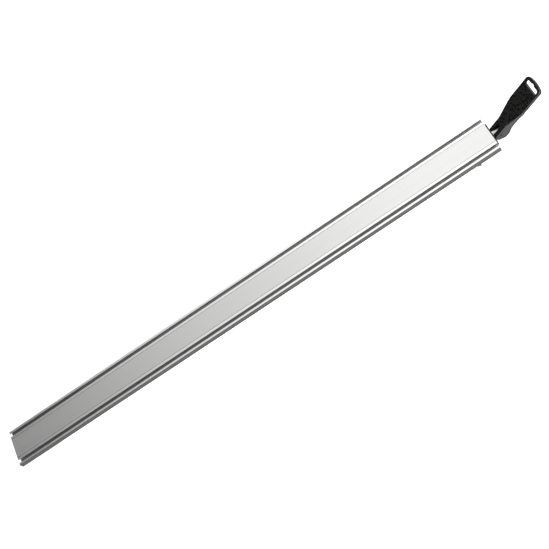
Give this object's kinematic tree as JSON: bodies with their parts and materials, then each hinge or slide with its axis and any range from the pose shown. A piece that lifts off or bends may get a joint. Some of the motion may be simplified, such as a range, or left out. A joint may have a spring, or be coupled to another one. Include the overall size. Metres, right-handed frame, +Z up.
{
  "type": "straight edge clamp guide",
  "caption": "Long low aluminium guide rail with top T-slots, jaws beneath and a forked cam lever, clamped across boards to guide a saw or router.",
  "frame": {"origin": "middle of the rail's flat top panel, halfway along the rail and between its edges", "axes": "+X along the rail towards the cam lever, +Y towards the rail's left edge, +Z up out of the top panel"},
  "size_m": [1.1826, 0.0762, 0.0836],
  "materials": {
    "rail_aluminium": "satin anodised extrusion, drawn lengthwise",
    "jaw_aluminium": "black powder coat",
    "lever_nylon": "moulded, pebbled on top, smooth on its sides",
    "black_nylon": "moulded, fine grain",
    "black_steel": "black oxide",
    "zinc_steel": "zinc plated",
    "spring_steel": "bright, ground",
    "rubber": "matte moulded"
  },
  "bodies": {
    "rail_frame": {"rail": "rail_aluminium", "end_plate": "black_steel", "end_plate_screw_left": "black_steel", "end_plate_screw_right": "black_steel", "near_jaw": "jaw_aluminium", "near_jaw_pad": "rubber", "near_jaw_nut_left": "zinc_steel", "near_jaw_nut_right": "zinc_steel", "near_jaw_screw_left": "zinc_steel", "near_jaw_screw_right": "zinc_steel", "bar_guide": "black_nylon", "end_stop": "black_steel", "end_stop_screw_left": "zinc_steel", "end_stop_screw_right": "zinc_steel", "return_spring_left": "spring_steel", "return_spring_right": "spring_steel"},
    "draw_bar_set": {"draw_bar": "zinc_steel", "spring_pin": "spring_steel"},
    "lever": {"cam_lever": "lever_nylon", "pivot_pin": "black_steel"},
    "far_jaw": {"far_jaw_body": "black_nylon", "far_jaw_pad": "rubber", "release_pin": "spring_steel", "lock_spring": "spring_steel"},
    "lock": {"lock_plate_1": "spring_steel", "lock_plate_2": "spring_steel"},
    "release": {"release_lever": "black_steel"}
  },
  "joints": [
    {"name": "draw_bar_slide", "type": "slide", "parent": "rail_frame", "child": "draw_bar_set", "axis": [1, 0, 0], "range_m": [-0.0023, 0.0013], "deforming": ["return_spring_left", "return_spring_right"]},
    {"name": "cam_lever_hinge", "type": "hinge", "parent": "draw_bar_set", "child": "lever", "pos_m": [0.5494, 0, -0.01], "axis": [0, -1, 0], "range_deg": [-32, 56]},
    {"name": "far_jaw_slide", "type": "slide", "parent": "draw_bar_set", "child": "far_jaw", "axis": [1, 0, 0], "range_m": [0, 0.938]},
    {"name": "release_lever_hinge", "type": "hinge", "parent": "far_jaw", "child": "release", "pos_m": [-0.474, 0, -0.0172], "axis": [0, 1, 0], "range_deg": [0, 7], "stiffness_Nm_per_rad": 0.4, "springref_deg": -6.88},
    {"name": "lock_plates_hinge", "type": "hinge", "parent": "far_jaw", "child": "lock", "pos_m": [-0.4856, 0, -0.0032], "axis": [0, 1, 0], "range_deg": [0, 2.4]}
  ],
  "couplings": [
    {"joint": "draw_bar_slide", "follows": "cam_lever_hinge", "m_per_rad": -0.0022},
    {"joint": "lock_plates_hinge", "follows": "release_lever_hinge", "ratio": 0.34}
  ]
}
